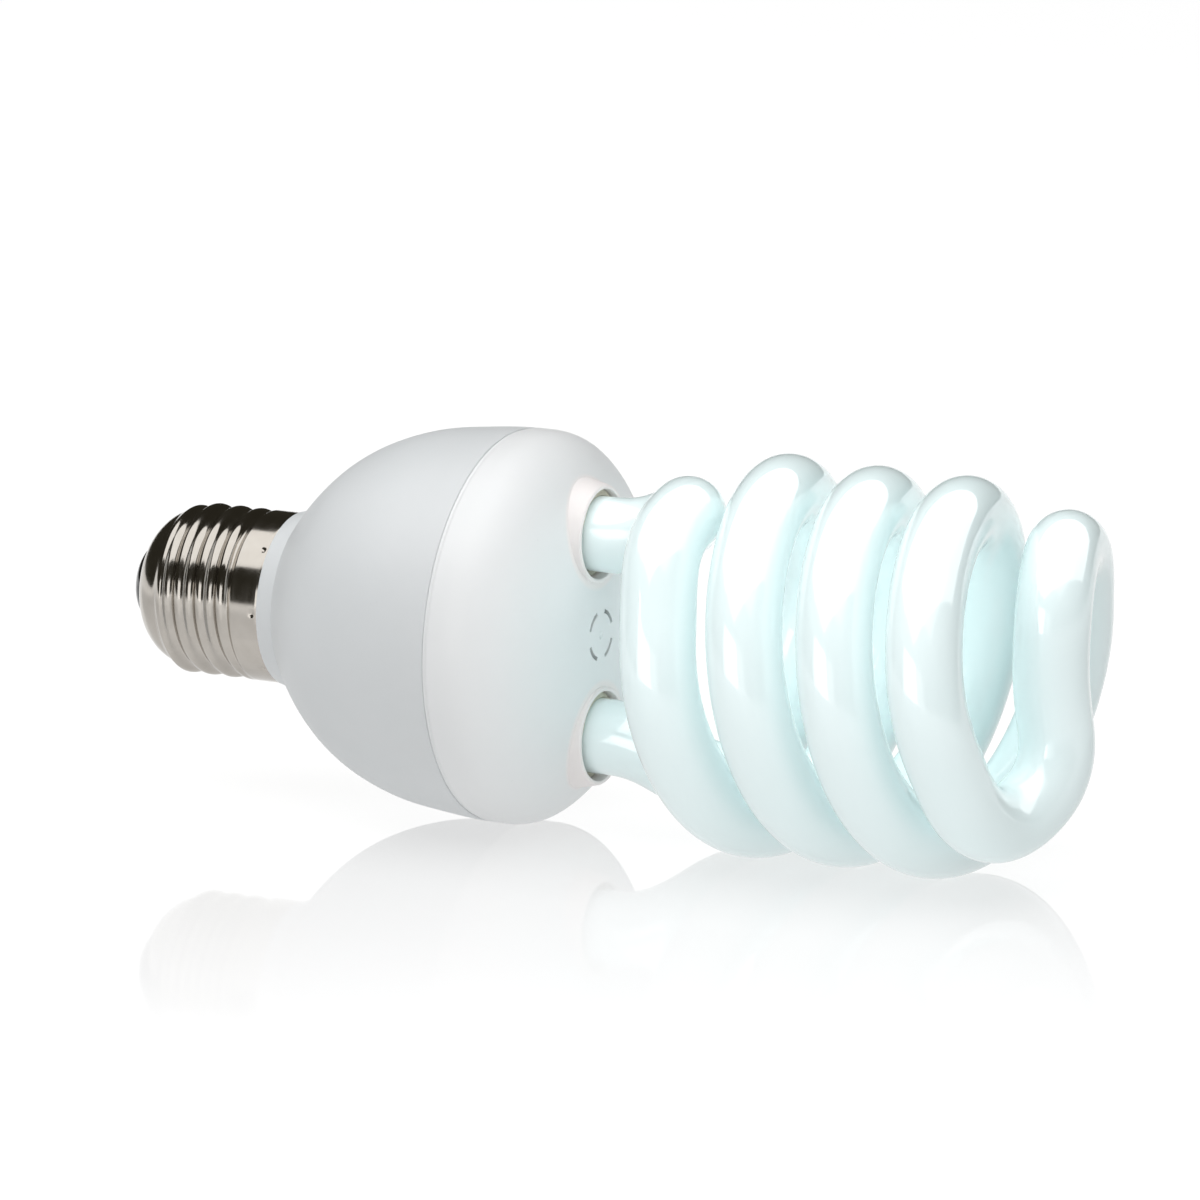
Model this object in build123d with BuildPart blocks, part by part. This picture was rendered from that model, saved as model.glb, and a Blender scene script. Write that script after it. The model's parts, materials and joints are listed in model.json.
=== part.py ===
"""Compact spiral lamp with a 27 mm screw cap, lying on its side.

Millimetres, +Z up. The lamp's axis is parallel to X: the cap points to -X and
the closed end of the spiral to +X. Lengths along the axis are given as
"stations" s, measured from the edge where the metal cap meets the plastic
collar (s = 0). Z = 0 is the surface that the lamp lies on.
"""

from build123d import *
from math import cos, pi, radians, sin, sqrt, tan
import os

os.makedirs("parts", exist_ok=True)

# ------------------------------------------------------------ dimensions (mm)
S_MID = 54.33            # station that becomes X = 0 (middle of the length)
AXIS_Z = 30.868          # height of the lamp's axis above the surface

# screw cap
THREAD_R = 13.2          # crest radius of the rolled thread
THREAD_ROOT_R = 12.15    # root radius, outside
THREAD_PITCH = 3.629
THREAD_PHASE_S = -14.63  # a crest crosses the top of the cap at this station
SHELL_WALL = 0.35
SKIRT_START = -4.6
SHELL_END = -23.6
STAKE_COUNT = 8
STAKE_FIRST_DEG = -1.0
STAKE_S = -0.9
INSULATOR_TIP_S = -25.8
CONTACT_R = 3.6
CONTACT_TIP_S = -26.2

# housing
COLLAR_LEN = 3.1
COLLAR_R0 = 13.45
COLLAR_R1 = 14.2
SEAM_S = 37.6
SEAM_GAP = 0.5
HOUSING_R = 30.3
SPIGOT_R = 11.72         # housing neck inside the screw shell
NECK_BORE_R = 10.4

# glass tube
TUBE_R = 5.8
LEG_R = 15.82            # distance of each straight leg from the axis
LEG_START = 44.0         # sealed end of each leg, inside the cover
LEG_BEND = 59.6
TURN_PITCH = 30.0        # advance of one arm in a full turn
HELIX_S0 = 67.8          # station of arm A's helix at angle 0 (top)
COIL_R_FIRST = 25.2      # mean radius at the first quarter turn
COIL_R_MID = 24.8
COIL_R_LAST = 24.9
HELIX_FROM = 90
HELIX_TO = 630
HELIX_STEP = 30

# leg sockets in the cover
SOCKET_HOLE_R = 6.9
SOCKET_RIM_R = 7.45
SOCKET_BASE_R = 8.35
SOCKET_RIM_S = 52.9

# circuit board
BOARD_S = 26.0
BOARD_T = 1.6
BOARD_R = 26.7


# -------------------------------------------------------------------- helpers
def side():
    """Plane whose local x is the station and local y the height above the axis."""
    return Plane(origin=(-S_MID, 0, AXIS_Z), x_dir=(1, 0, 0), z_dir=(0, -1, 0))


def cross(s):
    """Plane across the axis at station s: local x is Y, local y is Z."""
    return Plane(origin=(s - S_MID, 0, AXIS_Z), x_dir=(0, 1, 0), z_dir=(1, 0, 0))


def at(s, y, z):
    """Point at station s, offset y and z from the axis."""
    return Vector(s - S_MID, y, AXIS_Z + z)


AXIS = Axis((-S_MID, 0, AXIS_Z), (1, 0, 0))


def around(s, r, deg):
    """Point at station s and radius r. 0 deg is the top, 90 deg is -Y."""
    return at(s, -r * sin(radians(deg)), r * cos(radians(deg)))


# ----------------------------------------------------------------- screw cap
with BuildPart() as screw_shell:
    with BuildSketch(side()):
        with BuildLine():
            Spline(
                (SHELL_END, 6.6), (-22.9, 8.6), (-21.3, 10.5), (-19.3, 11.75),
                (-17.0, THREAD_ROOT_R),
                tangents=[(0.25, 1), (1, 0)],
            )
            Polyline(
                (-17.0, THREAD_ROOT_R), (SKIRT_START - 1.1, THREAD_ROOT_R),
                (SKIRT_START, THREAD_R), (0.0, THREAD_R), (0.0, THREAD_R - 0.6),
                (SKIRT_START + 0.2, THREAD_R - 0.6),
                (SKIRT_START - 0.9, THREAD_ROOT_R - SHELL_WALL),
                (-17.0, THREAD_ROOT_R - SHELL_WALL),
            )
            Spline(
                (-17.0, THREAD_ROOT_R - SHELL_WALL), (-19.15, 11.38),
                (-21.0, 10.2), (-22.55, 8.4), (SHELL_END + 0.35, 6.6),
                tangents=[(-1, 0), (-0.25, -1)],
            )
            Line((SHELL_END + 0.35, 6.6), (SHELL_END, 6.6))
        make_face()
    revolve(axis=AXIS)
    # rolled thread: a rounded ridge wound on the root cylinder, right-handed
    ridge_from = THREAD_PHASE_S - THREAD_PITCH
    with BuildLine() as ridge_path:
        Helix(
            THREAD_PITCH, SKIRT_START - 1.3 - ridge_from, THREAD_ROOT_R,
            center=at(ridge_from, 0, 0), direction=(1, 0, 0),
        )
    ridge_start = ridge_path.edges()[0]
    with BuildSketch(
        Plane(
            origin=ridge_start @ 0,
            x_dir=(ridge_start @ 0) - at(ridge_from, 0, 0),
            z_dir=ridge_start % 0,
        )
    ) as ridge_section:
        with BuildLine():
            half_w = THREAD_PITCH * 0.40
            h = THREAD_R - THREAD_ROOT_R
            Spline(
                (-0.12, -half_w), (0.15 * h, -half_w * 0.74), (0.75 * h, -half_w * 0.38),
                (h, 0), (0.75 * h, half_w * 0.38), (0.15 * h, half_w * 0.74),
                (-0.12, half_w),
            )
            Polyline((-0.12, half_w), (-0.28, half_w), (-0.28, -half_w), (-0.12, -half_w))
        make_face()
    sweep(path=ridge_path.wires()[0], is_frenet=True)
    # the thread runs out gently towards the rounded end
    with BuildSketch(side()):
        with BuildLine():
            Polyline(
                (-21.0, 12.2), (-18.4, 12.2), (-16.6, THREAD_R + 0.02), (-16.6, 14.5),
                (-21.0, 14.5), close=True,
            )
        make_face()
    revolve(axis=AXIS, mode=Mode.SUBTRACT)
    # staking dents that lock the shell to the collar
    with Locations(
        *[
            Location(around(STAKE_S, THREAD_R + 0.6, STAKE_FIRST_DEG + i * 360 / STAKE_COUNT))
            for i in range(STAKE_COUNT)
        ]
    ):
        Sphere(0.9, mode=Mode.SUBTRACT)
screw_shell.part.label = "screw_shell"

with BuildPart() as cap_insulator:
    with BuildSketch(side()):
        with BuildLine():
            Polyline(
                (SHELL_END + 0.4, 6.58), (SHELL_END - 0.25, 6.55),
            )
            Spline(
                (SHELL_END - 0.25, 6.55), (-24.9, 5.75), (INSULATOR_TIP_S, 4.2),
                tangents=[(-0.55, -0.1), (-0.15, -1)],
            )
            Polyline(
                (INSULATOR_TIP_S, 4.2), (INSULATOR_TIP_S, CONTACT_R), (-25.0, CONTACT_R),
                (-25.0, 1.2), (-21.6, 1.2), (-21.6, 7.2), (-22.4, 7.9), (SHELL_END + 0.4, 6.58),
            )
        make_face()
    revolve(axis=AXIS)
cap_insulator.part.label = "cap_insulator"

with BuildPart() as centre_contact:
    with BuildSketch(side()):
        with BuildLine():
            Polyline(
                (-25.0, 0.9), (-25.0, CONTACT_R), (INSULATOR_TIP_S, CONTACT_R),
            )
            Spline(
                (INSULATOR_TIP_S, CONTACT_R), (-26.1, 2.7), (CONTACT_TIP_S, 0.9),
                tangents=[(-0.3, -0.3), (0, -1)],
            )
            Line((CONTACT_TIP_S, 0.9), (-25.0, 0.9))
        make_face()
    revolve(axis=AXIS)
centre_contact.part.label = "centre_contact"

with BuildPart() as contact_solder:
    with BuildSketch(side()):
        with BuildLine():
            Polyline((-25.3, 0), (-25.3, 0.88), (CONTACT_TIP_S, 0.88), (CONTACT_TIP_S, 1.6))
            Spline(
                (CONTACT_TIP_S, 1.6), (-26.6, 1.0), (-26.75, 0),
                tangents=[(-0.8, -0.3), (0, -1)],
            )
            Line((-26.75, 0), (-25.3, 0))
        make_face()
    revolve(axis=AXIS)
contact_solder.part.label = "contact_solder"

# ------------------------------------------------------------------- housing
with BuildPart() as lower_housing:
    with BuildSketch(side()):
        with BuildLine():
            Polyline(
                (-9.0, NECK_BORE_R), (-9.0, SPIGOT_R), (SKIRT_START + 0.3, SPIGOT_R),
                (SKIRT_START + 0.45, 12.52), (0.05, 12.52), (0.05, COLLAR_R0),
                (COLLAR_LEN, COLLAR_R1), (COLLAR_LEN + 0.1, COLLAR_R1 + 0.15),
            )
            Spline(
                (COLLAR_LEN + 0.1, COLLAR_R1 + 0.15), (5.0, 16.7), (8.0, 20.0),
                (12.0, 23.4), (16.0, 25.8), (20.0, 27.5), (25.0, 28.9), (30.0, 29.6),
                (SEAM_S - 0.35, HOUSING_R - 0.05),
                tangents=[(0.6, 0.8), (1, 0.03)],
            )
            Polyline(
                (SEAM_S - 0.35, HOUSING_R - 0.05), (SEAM_S, HOUSING_R - 0.45),
                (SEAM_S, 28.2), (36.0, 28.2), (35.7, 28.6), (34.5, 28.6), (34.2, 28.2),
                (31.0, 28.0), (26.0, 27.05), (26.0, 24.6), (24.6, 24.6), (24.0, 26.4),
            )
            Spline(
                (24.0, 26.4), (20.0, 25.5), (16.0, 23.8), (12.0, 21.4), (8.0, 18.0),
                (5.0, 14.6), (2.6, NECK_BORE_R),
                tangents=[(-1, -0.12), (-0.5, -1)],
            )
            Line((2.6, NECK_BORE_R), (-9.0, NECK_BORE_R))
        make_face()
    revolve(axis=AXIS)
    # notch in the neck's end for the wire that is soldered to the shell
    with Locations(Location(at(-8.4, 0, -(SPIGOT_R + NECK_BORE_R) / 2))):
        Box(1.4, 2.4, 2.2, mode=Mode.SUBTRACT)
    with Locations(
        *[
            Location(around(STAKE_S, THREAD_R + 0.6, STAKE_FIRST_DEG + i * 360 / STAKE_COUNT))
            for i in range(STAKE_COUNT)
        ]
    ):
        Sphere(1.45, mode=Mode.SUBTRACT)
lower_housing.part.label = "lower_housing"

with BuildPart() as tube_cover:
    with BuildSketch(side()):
        with BuildLine():
            Polyline(
                (50.8, 0), (52.6, 0),
            )
            Spline(
                (52.6, 0), (52.4, 9.0), (51.8, 15.5), (50.5, 21.2), (48.5, 25.4),
                (46.0, 28.2), (43.6, 29.75), (41.0, HOUSING_R),
                tangents=[(0, 1), (-1, 0.06)],
            )
            Polyline(
                (41.0, HOUSING_R), (SEAM_S + SEAM_GAP + 0.35, HOUSING_R),
                (SEAM_S + SEAM_GAP, HOUSING_R - 0.35), (SEAM_S + SEAM_GAP, 29.5),
                (SEAM_S + 0.02, 29.5), (SEAM_S + 0.02, 27.95), (35.5, 27.95),
                (35.3, 28.35), (34.8, 28.35), (34.4, 27.75), (31.5, 27.75), (30.5, 27.35),
                (BOARD_S + BOARD_T + 0.05, 27.0), (BOARD_S + BOARD_T + 0.05, 25.9),
                (33.0, 26.4), (38.0, 27.9), (41.0, 28.4),
            )
            Spline(
                (41.0, 28.4), (43.2, 27.8), (45.2, 26.4), (47.3, 23.8), (49.0, 20.0),
                (50.1, 15.0), (50.6, 9.0), (50.8, 0),
                tangents=[(1, -0.1), (0, -1)],
            )
        make_face()
    revolve(axis=AXIS)
    # two raised sockets for the tube's legs, with a sleeve inside the cover
    for z in (LEG_R, -LEG_R):
        with BuildSketch(side()) as socket_profile:
            with BuildLine():
                Polyline(
                    (42.0, z + 8.0), (48.0, z + 8.0), (48.4, z + SOCKET_BASE_R + 0.25),
                    (SOCKET_RIM_S - 0.25, z + SOCKET_RIM_R + 0.1),
                    (SOCKET_RIM_S, z + SOCKET_RIM_R - 0.12), (SOCKET_RIM_S, z + 2.0),
                    (42.0, z + 2.0), close=True,
                )
            make_face()
        revolve(axis=Axis((-S_MID, 0, AXIS_Z + z), (1, 0, 0)))
        with BuildSketch(cross(41.0)):
            with Locations((0, z)):
                Circle(SOCKET_HOLE_R)
        extrude(amount=13.0, mode=Mode.SUBTRACT)
    # four short vent slots in a ring and a gate dimple at the centre
    with BuildSketch(cross(49.0)):
        for deg in (45, 135, 225, 315):
            with BuildLine():
                CenterArc((0, 0), 4.05, deg - 27, 54)
                CenterArc((0, 0), 3.35, deg - 27, 54)
                for end in (-27, 27):
                    a = radians(deg + end)
                    Line((3.35 * cos(a), 3.35 * sin(a)), (4.05 * cos(a), 4.05 * sin(a)))
            make_face()
    extrude(amount=5.0, mode=Mode.SUBTRACT)
    with Locations(Location(at(53.3, 0, 0))):
        Sphere(1.0, mode=Mode.SUBTRACT)
tube_cover.part.label = "tube_cover"


# ---------------------------------------------------------------- glass tube
def arm(far_end):
    """Corner points of one arm, from its sealed leg to the crossing at the tip."""
    points = [(LEG_START, 0.0, LEG_R), (LEG_BEND, 0.0, LEG_R)]
    points += [(67.5, -0.2, 19.65), (71.1, -6.6, 23.0), (71.95, -18.3, 20.1)]
    for deg in range(HELIX_FROM, HELIX_TO + 1, HELIX_STEP):
        if deg < 360:
            r = COIL_R_FIRST + (COIL_R_MID - COIL_R_FIRST) * (deg - 90) / 270
        else:
            r = COIL_R_MID + (COIL_R_LAST - COIL_R_MID) * (deg - 360) / 285
        r /= cos(radians(HELIX_STEP / 2))
        a = radians(deg)
        points.append((HELIX_S0 + TURN_PITCH * deg / 360, -r * sin(a), r * cos(a)))
    return points + far_end


arm_a = arm([(123.5, 19.1, 17.1), (125.8, 9.5, 20.0), (129.1, -0.4, 14.2)])
arm_b = arm([(123.9, 19.0, 16.4), (125.8, 9.0, 20.2), (130.4, -0.6, 12.6)])
corners = [at(*p) for p in arm_a]
corners.append(at(128.2, 0.0, 0.3))
corners += [at(s, -y, -z) for s, y, z in reversed(arm_b)]


def rounded(points):
    """Straight runs and tangent arcs that round every corner of a polyline.

    Each corner's arc uses half of the shorter of its two runs, and all of the
    straight leg at the ends. Returns the pieces as point lists and the radii.
    """
    pieces, radii = [], []
    previous = points[0]
    for i in range(1, len(points) - 1):
        before, corner, after = points[i - 1], points[i], points[i + 1]
        to_before, to_after = before - corner, after - corner
        reach = min(
            to_before.length * (0.5 if i > 1 else 0.9),
            to_after.length * (0.5 if i < len(points) - 2 else 0.9),
        )
        turn = radians(180 - to_before.get_angle(to_after))
        radius = reach / tan(turn / 2)
        radii.append(radius)
        start = corner + to_before.normalized() * reach
        end = corner + to_after.normalized() * reach
        inward = (to_before.normalized() + to_after.normalized()).normalized()
        middle = corner + inward * (radius / cos(turn / 2) - radius)
        if (start - previous).length > 0.02:
            pieces.append((previous, start))
        else:
            start = previous
        pieces.append((start, middle, end))
        previous = end
    pieces.append((previous, points[-1]))
    return pieces, radii


tube_pieces, tube_radii = rounded(corners)
print("spiral tube bend radii:", [round(r, 1) for r in tube_radii])

with BuildPart() as spiral_tube:
    with BuildLine() as tube_path:
        for piece in tube_pieces:
            if len(piece) == 2:
                Line(*piece)
            else:
                ThreePointArc(*piece)
    with BuildSketch(Plane(origin=corners[0], x_dir=(0, 1, 0), z_dir=(1, 0, 0))):
        Circle(TUBE_R)
    sweep(path=tube_path.wires()[0])
spiral_tube.part.label = "spiral_tube"
tube_length = sum(e.length for e in tube_path.edges())
print(
    "spiral tube length", round(tube_length, 1),
    "volume", round(spiral_tube.part.volume),
    "section x length", round(pi * TUBE_R**2 * tube_length),
)

with BuildPart() as tube_cement:
    for z in (LEG_R, -LEG_R):
        with BuildSketch(cross(43.2)):
            with Locations((0, z)):
                Circle(SOCKET_HOLE_R - 0.02)
                Circle(TUBE_R + 0.02, mode=Mode.SUBTRACT)
        extrude(amount=5.6)
tube_cement.part.label = "tube_cement"

# ------------------------------------------------------------ ballast inside
with BuildPart() as circuit_board:
    with BuildSketch(cross(BOARD_S)):
        Circle(BOARD_R)
        with Locations((0, -21.5)):
            Circle(1.4, mode=Mode.SUBTRACT)
        with Locations((21.0, 0), (-21.0, 0)):
            SlotOverall(6, 2.4, rotation=90, mode=Mode.SUBTRACT)
    extrude(amount=BOARD_T)
circuit_board.part.label = "circuit_board"


def leads(points, s_from, s_to, r=0.3):
    """Straight leads along the axis from s_from to s_to at each (y, z)."""
    with BuildSketch(cross(s_from)) as ends:
        with Locations(*points):
            Circle(r)
    extrude(ends.sketch, amount=s_to - s_from)


with BuildPart() as smoothing_capacitor:
    with BuildSketch(cross(3.4)):
        with Locations((0, 4.6)):
            Circle(5.0)
    extrude(amount=20.0)
    fillet(smoothing_capacitor.edges().filter_by(GeomType.CIRCLE), 0.7)
    leads([(-1.2, 4.6), (1.2, 4.6)], 22.0, BOARD_S)
smoothing_capacitor.part.label = "smoothing_capacitor"

CHOKE_Y, CHOKE_Z, CHOKE_S = -11.0, -4.0, 19.5
with BuildPart() as choke_core:
    with Locations(Location(at(CHOKE_S, CHOKE_Y, CHOKE_Z))):
        Box(12.2, 13.0, 5.0)
        with Locations(Location((0, 3.45, 0)), Location((0, -3.45, 0))):
            Box(8.0, 2.9, 5.0, mode=Mode.SUBTRACT)
choke_core.part.label = "choke_core"

with BuildPart() as choke_bobbin:
    with Locations(Location(at(CHOKE_S, CHOKE_Y, CHOKE_Z))):
        Box(7.8, 5.2, 6.4)
        with Locations(Location((-3.5, 0, 0)), Location((3.5, 0, 0))):
            Box(0.7, 9.4, 11.4)
        Box(7.8, 4.1, 5.1, mode=Mode.SUBTRACT)
    with Locations(*[Location(at(24.6, CHOKE_Y + y, CHOKE_Z + z)) for y in (-3.6, 3.6) for z in (-5.1, 5.1)]):
        Box(2.8, 0.6, 0.6)
    with Locations(*[Location(at(23.1, CHOKE_Y + y, CHOKE_Z + z)) for y in (-3.6, 3.6) for z in (-5.1, 5.1)]):
        Box(0.8, 1.2, 1.1)
choke_bobbin.part.label = "choke_bobbin"

with BuildPart() as choke_winding:
    with Locations(Location(at(CHOKE_S, CHOKE_Y, CHOKE_Z))):
        Box(6.2, 9.0, 10.6)
        fillet(choke_winding.edges().filter_by(Axis.X), 1.2)
        Box(6.2, 5.3, 6.5, mode=Mode.SUBTRACT)
choke_winding.part.label = "choke_winding"

TOROID_Y, TOROID_Z = 11.5, -11.5
with BuildPart() as drive_toroid:
    with BuildSketch(cross(21.3)):
        with Locations((TOROID_Y, TOROID_Z)):
            Circle(5.0)
            Circle(2.5, mode=Mode.SUBTRACT)
    extrude(amount=4.0)
drive_toroid.part.label = "drive_toroid"

with BuildPart() as toroid_windings:
    for deg in (30, 150, 270):
        a = radians(deg)
        section = Plane(
            origin=at(23.3, TOROID_Y + 3.7 * cos(a), TOROID_Z + 3.7 * sin(a)),
            x_dir=(0, cos(a), sin(a)),
            z_dir=(0, -sin(a), cos(a)),
        )
        with BuildSketch(section):
            Rectangle(3.8, 5.2)
            Rectangle(2.75, 4.2, mode=Mode.SUBTRACT)
        extrude(amount=0.8, both=True)
toroid_windings.part.label = "toroid_windings"

with BuildPart() as power_transistors:
    for y, z in ((14.5, 3.5), (14.5, 11.0)):
        with BuildSketch(cross(19.0)):
            with Locations((y, z)):
                Rectangle(3.2, 6.4)
        extrude(amount=5.0)
        leads([(y, z - 1.3), (y, z), (y, z + 1.3)], 24.0, BOARD_S, 0.25)
power_transistors.part.label = "power_transistors"

with BuildPart() as resonant_capacitor:
    with BuildSketch(cross(16.4)):
        with Locations((9.5, 10.2)):
            RectangleRounded(5.2, 9.0, 1.2)
    extrude(amount=9.0)
    leads([(9.5, 7.5), (9.5, 12.9)], 25.4, BOARD_S)
resonant_capacitor.part.label = "resonant_capacitor"

with BuildPart() as film_capacitors:
    for y, z in ((0.5, -17.5), (-9.5, -17.5)):
        with BuildSketch(cross(19.6)):
            with Locations((y, z)):
                RectangleRounded(6.6, 3.4, 1.0)
        extrude(amount=5.6)
        leads([(y - 2.0, z), (y + 2.0, z)], 25.2, BOARD_S)
film_capacitors.part.label = "film_capacitors"


def lying(points, s, length, r, lead_r=0.28):
    """Small cylindrical components that lie on the board, along Z, with bent leads."""
    for y, z in points:
        with BuildSketch(
            Plane(origin=at(s, y, z - length / 2), x_dir=(1, 0, 0), z_dir=(0, 0, 1))
        ) as body:
            Circle(r)
        extrude(body.sketch, amount=length)
        for end in (-1, 1):
            with BuildSketch(
                Plane(origin=at(s, y, z + end * length / 2), x_dir=(1, 0, 0), z_dir=(0, 0, end))
            ) as out:
                Circle(lead_r)
            extrude(out.sketch, amount=1.0)
            with BuildSketch(cross(s)) as down:
                with Locations((y, z + end * (length / 2 + 1.0 - lead_r))):
                    Circle(lead_r)
            extrude(down.sketch, amount=BOARD_S - s)


with BuildPart() as rectifier_diodes:
    lying([(4.0, 18.5), (7.6, 18.5), (-1.0, 18.5), (-4.6, 18.5)], 24.4, 4.6, 1.3)
rectifier_diodes.part.label = "rectifier_diodes"

with BuildPart() as resistors:
    lying([(20.5, 7.0), (20.5, -6.5), (-3.0, -7.5), (1.2, -7.5)], 24.7, 5.6, 1.1)
resistors.part.label = "resistors"

with BuildPart() as trigger_diode:
    lying([(8.6, 2.5)], 24.9, 3.2, 0.9)
trigger_diode.part.label = "trigger_diode"

with BuildPart() as fuse_resistor:
    with BuildSketch(cross(2.0)):
        with Locations((3.5, -5.2)):
            Circle(1.7)
    extrude(amount=9.0)
    leads([(3.5, -5.2)], 10.9, BOARD_S, 0.35)
fuse_resistor.part.label = "fuse_resistor"

LINE_CHOKE_Y, LINE_CHOKE_Z = 17.5, -3.6
with BuildPart() as line_choke_core:
    with BuildSketch(side()):
        with BuildLine():
            Polyline(
                (13.0, 0), (13.0, 3.4), (14.2, 3.4), (14.2, 1.6), (22.0, 1.6), (22.0, 3.4),
                (23.2, 3.4), (23.2, 0), close=True,
            )
        make_face()
    revolve(axis=AXIS)
    leads([(-0.9, 0), (0.9, 0)], 23.1, BOARD_S)
line_choke_core.part = line_choke_core.part.moved(Location((0, LINE_CHOKE_Y, LINE_CHOKE_Z)))
line_choke_core.part.label = "line_choke_core"

with BuildPart() as line_choke_winding:
    with BuildSketch(cross(14.25)):
        with Locations((LINE_CHOKE_Y, LINE_CHOKE_Z)):
            Circle(2.9)
            Circle(1.65, mode=Mode.SUBTRACT)
    extrude(amount=7.7)
line_choke_winding.part.label = "line_choke_winding"

PIN_Y = 3.1
with BuildPart() as wrap_pins:
    with BuildSketch(cross(BOARD_S + BOARD_T)):
        with Locations(*[(y, z) for y in (-PIN_Y, PIN_Y) for z in (LEG_R, -LEG_R)]):
            Rectangle(0.8, 0.8)
    extrude(amount=8.4)
wrap_pins.part.label = "wrap_pins"

with BuildPart() as filament_leads:
    for y in (-1, 1):
        for z in (-1, 1):
            with BuildLine() as lead_path:
                FilletPolyline(
                    at(LEG_START, 1.4 * y, LEG_R * z),
                    at(39.5, 1.4 * y, LEG_R * z),
                    at(36.5, (PIN_Y - 0.72) * y, LEG_R * z),
                    at(31.0, (PIN_Y - 0.72) * y, LEG_R * z),
                    radius=2.0,
                )
            with BuildSketch(
                Plane(origin=at(LEG_START, 1.4 * y, LEG_R * z), x_dir=(0, 1, 0), z_dir=(-1, 0, 0))
            ):
                Circle(0.3)
            sweep(path=lead_path.wires()[0])
filament_leads.part.label = "filament_leads"

with BuildPart() as contact_wire:
    with BuildLine() as contact_path:
        FilletPolyline(
            at(BOARD_S - 0.1, -2.6, -2.0), at(8.0, -2.6, -4.0), at(-12.0, -2.2, -3.6),
            at(-19.0, 0, 0), at(-25.3, 0, 0),
            radius=4.0,
        )
    with BuildSketch(
        Plane(origin=contact_path.wires()[0] @ 0, z_dir=contact_path.wires()[0] % 0)
    ):
        Circle(0.7)
    sweep(path=contact_path.wires()[0])
contact_wire.part.label = "contact_wire"

with BuildPart() as shell_wire:
    with BuildLine() as shell_path:
        FilletPolyline(
            at(1.85, 3.5, -5.2), at(-5.0, 3.2, -7.2), at(-8.35, 0.4, -8.2),
            at(-8.35, 0, -11.75),
            radius=1.6,
        )
    with BuildSketch(Plane(origin=shell_path.wires()[0] @ 0, z_dir=shell_path.wires()[0] % 0)):
        Circle(0.45)
    sweep(path=shell_path.wires()[0])
shell_wire.part.label = "shell_wire"

# --------------------------------------------------------------- write pieces
export_step(screw_shell.part, "parts/screw_shell.step")
export_step(cap_insulator.part, "parts/cap_insulator.step")
export_step(centre_contact.part, "parts/centre_contact.step")
export_step(contact_solder.part, "parts/contact_solder.step")
export_step(lower_housing.part, "parts/lower_housing.step")
export_step(tube_cover.part, "parts/tube_cover.step")
export_step(spiral_tube.part, "parts/spiral_tube.step")
export_step(tube_cement.part, "parts/tube_cement.step")
export_step(circuit_board.part, "parts/circuit_board.step")
export_step(smoothing_capacitor.part, "parts/smoothing_capacitor.step")
export_step(choke_core.part, "parts/choke_core.step")
export_step(choke_bobbin.part, "parts/choke_bobbin.step")
export_step(choke_winding.part, "parts/choke_winding.step")
export_step(drive_toroid.part, "parts/drive_toroid.step")
export_step(toroid_windings.part, "parts/toroid_windings.step")
export_step(power_transistors.part, "parts/power_transistors.step")
export_step(resonant_capacitor.part, "parts/resonant_capacitor.step")
export_step(film_capacitors.part, "parts/film_capacitors.step")
export_step(rectifier_diodes.part, "parts/rectifier_diodes.step")
export_step(resistors.part, "parts/resistors.step")
export_step(trigger_diode.part, "parts/trigger_diode.step")
export_step(fuse_resistor.part, "parts/fuse_resistor.step")
export_step(line_choke_core.part, "parts/line_choke_core.step")
export_step(line_choke_winding.part, "parts/line_choke_winding.step")
export_step(wrap_pins.part, "parts/wrap_pins.step")
export_step(filament_leads.part, "parts/filament_leads.step")
export_step(contact_wire.part, "parts/contact_wire.step")
export_step(shell_wire.part, "parts/shell_wire.step")
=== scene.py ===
"""Looks of the compact spiral lamp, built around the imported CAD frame.

Metres, +Z up. Stations s run along the lamp's axis in millimetres from the edge
where the metal cap meets the plastic collar, as in the CAD source.
"""

import json
import math

import bmesh
import bpy
import numpy as np
from mathutils import Matrix, Vector


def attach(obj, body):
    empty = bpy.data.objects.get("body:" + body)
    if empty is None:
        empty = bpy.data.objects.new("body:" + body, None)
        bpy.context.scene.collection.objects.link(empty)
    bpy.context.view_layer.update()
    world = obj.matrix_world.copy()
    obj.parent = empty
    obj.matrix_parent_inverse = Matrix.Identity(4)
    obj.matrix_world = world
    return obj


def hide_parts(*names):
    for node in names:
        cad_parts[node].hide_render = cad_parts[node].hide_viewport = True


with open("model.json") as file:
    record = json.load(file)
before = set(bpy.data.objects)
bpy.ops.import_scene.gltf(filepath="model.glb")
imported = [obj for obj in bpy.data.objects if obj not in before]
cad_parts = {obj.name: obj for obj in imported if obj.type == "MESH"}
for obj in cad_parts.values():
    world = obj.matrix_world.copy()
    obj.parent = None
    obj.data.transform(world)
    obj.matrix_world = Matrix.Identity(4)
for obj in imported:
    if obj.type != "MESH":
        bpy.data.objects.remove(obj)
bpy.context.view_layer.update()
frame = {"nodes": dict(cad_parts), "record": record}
nodes = frame["nodes"]

S_MID, AXIS_Z = 54.33, 30.868


def W(p):
    """Row-frame metres from (station, y, z above the axis) in millimetres."""
    p = np.asarray(p, float)
    return (p + np.array([-S_MID, 0.0, AXIS_Z])) / 1000.0


# ------------------------------------------------------------------ materials
def material(name):
    m = bpy.data.materials.new(name)
    m.use_nodes = True
    nt = m.node_tree
    nt.nodes.clear()
    out = nt.nodes.new("ShaderNodeOutputMaterial")
    p = nt.nodes.new("ShaderNodeBsdfPrincipled")
    nt.links.new(p.outputs["BSDF"], out.inputs["Surface"])
    return m, nt, p


def node(nt, kind, **values):
    n = nt.nodes.new(kind)
    for k, v in values.items():
        if k in n.inputs:
            n.inputs[k].default_value = v
        else:
            setattr(n, k, v)
    return n


def coords(nt):
    return nt.nodes.new("ShaderNodeTexCoord").outputs["Object"]


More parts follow.
